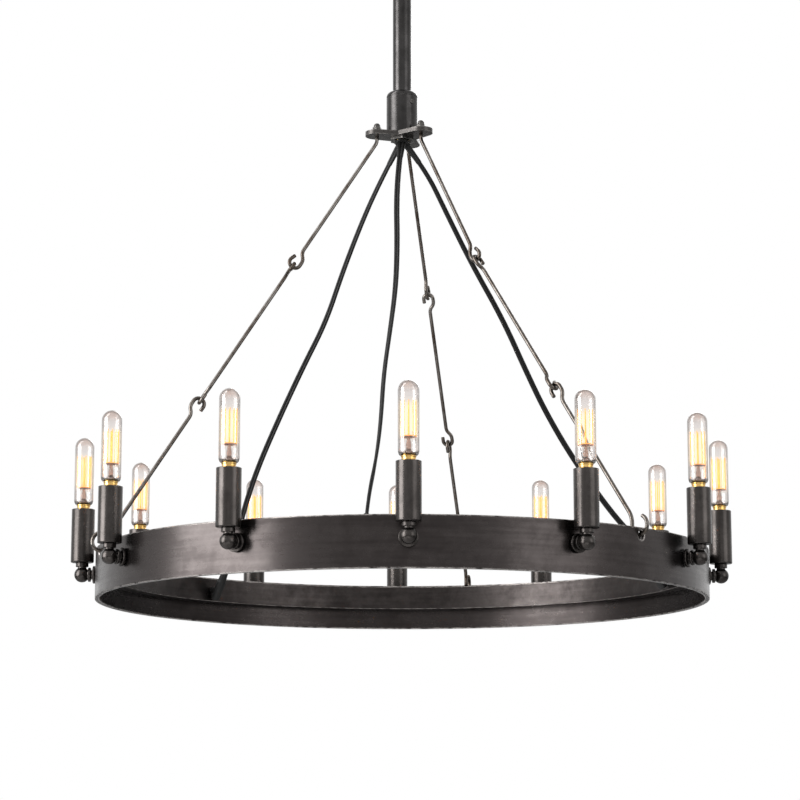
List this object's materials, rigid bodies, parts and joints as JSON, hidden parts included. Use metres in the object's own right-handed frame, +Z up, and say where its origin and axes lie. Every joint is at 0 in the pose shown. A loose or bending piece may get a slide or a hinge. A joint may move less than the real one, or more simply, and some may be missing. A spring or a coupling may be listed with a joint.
{
  "type": "ring chandelier",
  "caption": "Round iron chandelier: a swivel canopy and stem carry a flat ring on hooked rods, with upright candle lamps on ball elbows and cords from the hub",
  "frame": {"origin": "on the ceiling plane at the middle of the ceiling box's two screws", "axes": "+Z up, -Y to the front as pictured, +X to the right; the ring lies level below"},
  "size_m": [0.69, 0.69, 0.877],
  "materials": {
    "bracket_zinc": "plain zinc",
    "black_iron": "blackened iron with a soft sheen",
    "nut_iron": "worn dark iron",
    "plate_iron": "rubbed dark iron",
    "black_rubber": "matt black",
    "ring_steel": "mottled burnished steel under lacquer",
    "channel_steel": "dull grey brown steel",
    "cup_iron": "blackened iron with vertical highlights",
    "socket_resin": "dark moulded resin",
    "brass": "bright brass",
    "bulb_glass": "clear",
    "mount_glass": "clear, warm in the glow",
    "filament": "glowing warm strip",
    "raw_rod": "raw drawn iron rod, oiled",
    "black_cord": "black jacket"
  },
  "bodies": {
    "ceiling": {"ceiling_bracket": "bracket_zinc", "canopy_studs": "bracket_zinc", "canopy": "black_iron", "canopy_cap_nuts": "nut_iron"},
    "seat": {"swivel_seat": "bracket_zinc"},
    "stem_assembly": {"swivel_ball": "black_iron", "stem": "black_iron", "coupling": "black_iron", "coupling_set_screw": "nut_iron", "hub_nipple": "bracket_zinc", "hub_nut": "nut_iron", "hub_plate": "plate_iron", "hub_cap_nuts": "nut_iron", "cord_plug": "black_rubber", "upper_link_left": "raw_rod", "upper_link_right": "raw_rod", "upper_link_back": "raw_rod"},
    "ring": {"ring_band": "ring_steel", "wire_channel": "channel_steel", "cord_glands": "black_rubber", "lamp_elbows": "black_iron", "lamp_cups": "cup_iron", "lamp_sockets": "socket_resin", "bulb_bases": "brass", "bulb_glasses": "bulb_glass", "bulb_mounts": "mount_glass", "bulb_filaments": "filament", "cord_left": "black_cord", "cord_middle": "black_cord", "cord_right": "black_cord"},
    "arm_left": {"middle_link_left": "raw_rod", "lower_link_left": "raw_rod"},
    "arm_right": {"middle_link_right": "raw_rod", "lower_link_right": "raw_rod"},
    "arm_back": {"middle_link_back": "raw_rod", "lower_link_back": "raw_rod"}
  },
  "joints": [
    {"name": "canopy_spin", "type": "hinge", "parent": "ceiling", "child": "seat", "pos_m": [0, 0, -0.026], "axis": [0, 0, 1], "range_deg": [-170, 170]},
    {"name": "stem_tilt", "type": "hinge", "parent": "seat", "child": "stem_assembly", "pos_m": [0, 0, -0.026], "axis": [1, 0, 0], "range_deg": [-20, 20]},
    {"name": "ring_twist", "type": "hinge", "parent": "stem_assembly", "child": "ring", "pos_m": [0, 0, -0.827], "axis": [0, 0, 1], "range_deg": [-4, 4]},
    {"name": "arm_swing_left", "type": "hinge", "parent": "stem_assembly", "child": "arm_left", "pos_m": [-0.11639, -0.03119, -0.52689], "axis": [-0.8109, -0.2173, 0.5434], "range_deg": [-4, 4]},
    {"name": "arm_swing_right", "type": "hinge", "parent": "stem_assembly", "child": "arm_right", "pos_m": [0.07636, -0.08522, -0.53099], "axis": [0.5896, -0.5896, 0.552], "range_deg": [-4, 4]},
    {"name": "arm_swing_back", "type": "hinge", "parent": "stem_assembly", "child": "arm_back", "pos_m": [0.03119, 0.11639, -0.52689], "axis": [0.2173, 0.8109, 0.5434], "range_deg": [-4, 4]}
  ],
  "couplings": [
    {"joint": "arm_swing_left", "follows": "ring_twist", "ratio": 0.8689},
    {"joint": "arm_swing_right", "follows": "ring_twist", "ratio": 0.8657},
    {"joint": "arm_swing_back", "follows": "ring_twist", "ratio": 0.8689}
  ]
}
